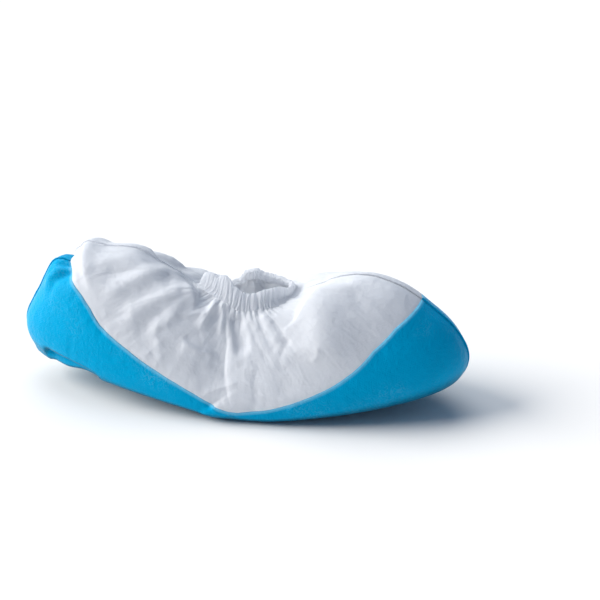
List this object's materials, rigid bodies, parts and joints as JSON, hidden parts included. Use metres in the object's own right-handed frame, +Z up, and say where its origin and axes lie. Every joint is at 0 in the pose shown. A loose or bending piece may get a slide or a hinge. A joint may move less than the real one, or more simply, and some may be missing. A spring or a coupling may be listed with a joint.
{
  "type": "anti-slip shoe cover",
  "caption": "Disposable slip-on shoe cover: white non-woven bag with a gathered elastic mouth and a blue embossed film sole that rises at toe and heel.",
  "frame": {"origin": "on the floor under the middle of the cover's length and width", "axes": "+X along the cover towards the toe, +Y across it away from the near side, +Z up out of the mouth"},
  "size_m": [0.3265, 0.1197, 0.1076],
  "materials": {
    "cloth": "white spun-bonded non-woven with a fine point-bond emboss, matt",
    "film": "blue polyethylene film with a fine anti-slip emboss, satin",
    "hem": "white non-woven casing, gathered over a round elastic, matt",
    "seam": "welded seam edge, matt, white over the cloth and blue over the film"
  },
  "bodies": {
    "root": {"upper_cloth": "cloth", "sole_film": "film", "elastic_hem": "hem", "toe_seam": "seam", "heel_seam": "seam"}
  },
  "joints": []
}
